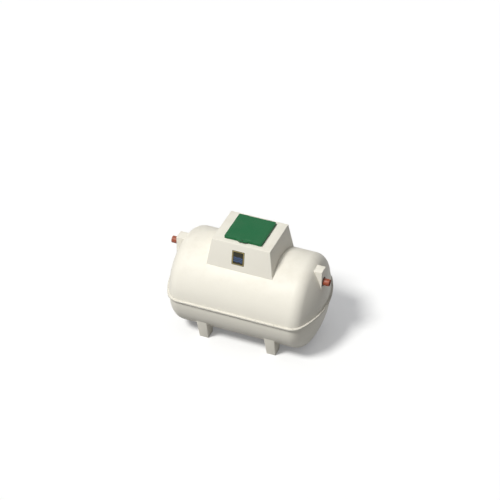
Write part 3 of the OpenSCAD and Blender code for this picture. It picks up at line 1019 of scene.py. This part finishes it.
def water_line(base):
    """One wavy printed line across the plate."""
    strip = bmesh.new()
    span = PLATE_WIDTH - 0.056
    edge = strip.edges.new([strip.verts.new((-span / 2, y, PLATE_THICKNESS))
                            for y in (base, base + WAVE_WIDTH)])
    for step in range(WAVE_STEPS):
        before, after = (sin(index / WAVE_STEPS * 4 * pi) for index in (step, step + 1))
        edge, = pull_edges(strip, [edge], (span / WAVE_STEPS, WAVE_RISE * (after - before), 0))
    pull_faces(strip, strip.faces[:], (0, 0, INK_THICKNESS))
    return outward(strip)


class SEPTIC_OT_label(bpy.types.Operator):
    """Fix a plain decorated plate with water lines to the front of the turret"""

    bl_idname = "septic.label"
    bl_label = "Front plate"

    def execute(self, context):
        middle_z = TOP_HIGH.z - PLATE_DROP
        face_y = -turret_halves(middle_z, 0)[1]
        place = (Matrix.Translation((PLATE_X, face_y, middle_z))
                 @ Matrix.Rotation(pi / 2 - sizes().turret_draft, 4, "X"))
        plate = slab(PLATE_WIDTH, PLATE_HEIGHT, -0.0002, PLATE_THICKNESS, 0.008)
        border = slab(PLATE_WIDTH - 0.016, PLATE_HEIGHT - 0.016, PLATE_THICKNESS,
                      PLATE_THICKNESS + INK_THICKNESS, 0.005)
        hole = slab(PLATE_WIDTH - 0.036, PLATE_HEIGHT - 0.036, PLATE_THICKNESS - 0.01,
                    PLATE_THICKNESS + 0.01, 0.003)
        lines = bmesh.new()
        for base in WAVE_BASES:
            absorb(lines, water_line(base))
        for name, shape, finish in (
                ("front_plate", plate, "plate_brown"),
                ("front_plate_border", combine(border, hole, "DIFFERENCE"), "plate_gold"),
                ("front_plate_waves", lines, "plate_blue")):
            as_piece(name, absorb(bmesh.new(), shape, place), (finish,), "tank")
        return {"FINISHED"}


# ---- hinges, lock and the CAD pieces that stay ----

BRACKET_THICKNESS = 0.004
SCREW_HEAD = [(0.0, 0.0), (0.0, 0.0045), (0.0012, 0.0040), (0.0020, 0.0026), (0.0023, 0.0)]


class SEPTIC_OT_fittings(bpy.types.Operator):
    """Give the hinges, the lock, the rim and the seal their finishes, and add the hinge screws"""

    bl_idname = "septic.fittings"
    bl_label = "Hinges and fittings"

    def execute(self, context):
        kept = {"opening_rim": "gelcoat", "opening_seal": "rubber", "lid_lock": "lock"}
        for end in ("inlet", "outlet"):
            kept |= {f"lid_knuckle_{end}_side": "lid", f"hinge_bracket_{end}_side": "steel",
                     f"hinge_pin_{end}_side": "steel"}
        for node, finish in kept.items():
            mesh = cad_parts[node].data
            if not mesh.materials:
                mesh.materials.append(None)
            for index in range(len(mesh.materials)):
                mesh.materials[index] = finish_of(finish)
        screws = bmesh.new()
        for end in ("inlet", "outlet"):
            low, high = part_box(f"hinge_bracket_{end}_side")
            for x in (low.x + 0.009, high.x - 0.009):
                centre = Vector((x, high.y - 0.011, TOP_HIGH.z + BRACKET_THICKNESS))
                absorb(screws, turned(SCREW_HEAD, Z, centre, 16))
        as_piece("hinge_screws", screws, ("steel",), "tank")
        return {"FINISHED"}


# ---- stage ----

FLOOR_HALF_SIZE = 60.0
FLOOR_BOUNCE = (0.35, 0.35, 0.35)
GLOW_COLOUR, GLOW_STRENGTH = (0.99, 1.0, 1.02, 1), 1.05
GLOW_NEAR, GLOW_FAR = 0.16, 0.335
SKY_LOW, SKY_HIGH = 0.10, 0.28
SUN_DIRECTION = Vector((-0.32, -0.63, 1.0))
AZIMUTH, ELEVATION = radians(22.17), radians(37.42)
CAMERA_DISTANCE, FOCAL_LENGTH = 30.0, 141.1
TARGET_UP, TARGET_RIGHT = 0.5492, -0.0052


def seen_rays(tree):
    """1 for the rays that are seen, directly or in a reflection, and 0 for the rest."""
    paths = tree.nodes.new("ShaderNodeLightPath")
    return math_node(tree, "MAXIMUM", paths.outputs["Is Camera Ray"],
                     paths.outputs["Is Glossy Ray"])


def white_floor():
    """Floor that is seen white, keeps the tank's shadow and returns little light to it."""
    material, tree, shader, _ = start_material("white_floor")
    seen = seen_rays(tree)
    link(tree, mix_node(tree, seen, FLOOR_BOUNCE, (1.0, 1.0, 1.0)), shader.inputs["Base Color"])
    shader.inputs["Roughness"].default_value = 0.9
    shader.inputs["Specular IOR Level"].default_value = 0.0
    glow = tree.nodes.new("ShaderNodeEmission")
    glow.inputs["Color"].default_value = GLOW_COLOUR
    glow.inputs["Strength"].default_value = GLOW_STRENGTH
    # Painted light and shade: the glow lightens the floor's shadow, and ambient occlusion lowers it
    # near the tank, so the floor under and beside the tank is darker.
    near = tree.nodes.new("ShaderNodeAmbientOcclusion")
    near.inputs["Distance"].default_value = 1.6
    share = range_node(tree, near.outputs["AO"], 0.0, 1.0, GLOW_NEAR, GLOW_FAR)
    blend = tree.nodes.new("ShaderNodeMixShader")
    link(tree, math_node(tree, "MULTIPLY", seen, share), blend.inputs[0])
    link(tree, shader.outputs[0], blend.inputs[1])
    link(tree, glow.outputs[0], blend.inputs[2])
    link(tree, blend.outputs[0], tree.nodes["Material Output"].inputs["Surface"])
    shape = bmesh.new()
    bmesh.ops.create_grid(shape, x_segments=1, y_segments=1, size=FLOOR_HALF_SIZE)
    mesh = bpy.data.meshes.new("floor")
    shape.to_mesh(mesh)
    shape.free()
    mesh.materials.append(material)
    return loose_object("floor", mesh)


def studio_world():
    """White surroundings that light the tank more from above than from the side."""
    world = bpy.data.worlds.new("studio")
    world.use_nodes = True
    tree = world.node_tree
    background = tree.nodes["Background"]
    background.inputs["Color"].default_value = (1.0, 1.0, 1.0, 1)
    split = tree.nodes.new("ShaderNodeSeparateXYZ")
    link(tree, tree.nodes.new("ShaderNodeTexCoord").outputs["Generated"], split.inputs[0])
    overhead = range_node(tree, split.outputs["Z"], 0.0, 1.0, SKY_LOW, SKY_HIGH)
    link(tree, math_node(tree, "MAXIMUM", seen_rays(tree), overhead),
         background.inputs["Strength"])
    return world


def window_light():
    lamp = bpy.data.lights.new("window_light", "SUN")
    lamp.energy = 2.95
    lamp.angle = radians(14)
    lamp.color = (1.0, 0.995, 0.97)
    sun = loose_object("window_light", lamp)
    sun.rotation_euler = SUN_DIRECTION.to_track_quat("Z", "Y").to_euler()


def front_camera():
    back = Vector((sin(AZIMUTH) * cos(ELEVATION), -cos(AZIMUTH) * cos(ELEVATION), sin(ELEVATION)))
    right = Vector((cos(AZIMUTH), sin(AZIMUTH), 0))
    lens = bpy.data.cameras.new("front_camera")
    lens.lens = FOCAL_LENGTH
    lens.sensor_width = 36.0
    lens.clip_end = 200.0
    camera = loose_object("front_camera", lens)
    camera.location = (AXIS + back.cross(right) * TARGET_UP + right * TARGET_RIGHT
                       + back * CAMERA_DISTANCE)
    camera.rotation_euler = back.to_track_quat("Z", "Y").to_euler()
    return camera


class SEPTIC_OT_stage(bpy.types.Operator):
    """Set up the floor, the lamps, the surroundings and the camera"""

    bl_idname = "septic.stage"
    bl_label = "Stage"

    def execute(self, context):
        white_floor()
        window_light()
        context.scene.world = studio_world()
        context.scene.camera = front_camera()
        context.scene.view_settings.view_transform = "Standard"
        return {"FINISHED"}


class SEPTIC_PT_panel(bpy.types.Panel):
    """Sidebar panel with the tank's steps"""

    bl_label = "Septic tank"
    bl_idname = "SEPTIC_PT_panel"
    bl_space_type = "VIEW_3D"
    bl_region_type = "UI"
    bl_category = "Septic tank"

    def draw(self, context):
        column = self.layout.column()
        for operator in OPERATORS:
            column.operator(operator.bl_idname)
        for group in (context.scene.tank_sizes, context.scene.tank_colours):
            for name in group.__annotations__:
                column.prop(group, name)


OPERATORS = (
    SEPTIC_OT_stage,
    SEPTIC_OT_upper_moulding,
    SEPTIC_OT_lower_moulding,
    SEPTIC_OT_flange_bolts,
    SEPTIC_OT_lid,
    SEPTIC_OT_pipes,
    SEPTIC_OT_label,
    SEPTIC_OT_fittings,
)
CLASSES = (TankSizes, TankColours) + OPERATORS + (SEPTIC_PT_panel,)


def register():
    for cls in CLASSES:
        bpy.utils.register_class(cls)
    bpy.types.Scene.tank_sizes = PointerProperty(type=TankSizes)
    bpy.types.Scene.tank_colours = PointerProperty(type=TankColours)


def unregister():
    del bpy.types.Scene.tank_colours
    del bpy.types.Scene.tank_sizes
    for cls in reversed(CLASSES):
        bpy.utils.unregister_class(cls)


def main():
    register()
    bpy.ops.septic.stage()
    bpy.ops.septic.upper_moulding()
    bpy.ops.septic.lower_moulding()
    bpy.ops.septic.flange_bolts()
    bpy.ops.septic.lid()
    bpy.ops.septic.pipes()
    bpy.ops.septic.label()
    bpy.ops.septic.fittings()
    bpy.context.view_layer.update()


if __name__ == "__main__":
    main()
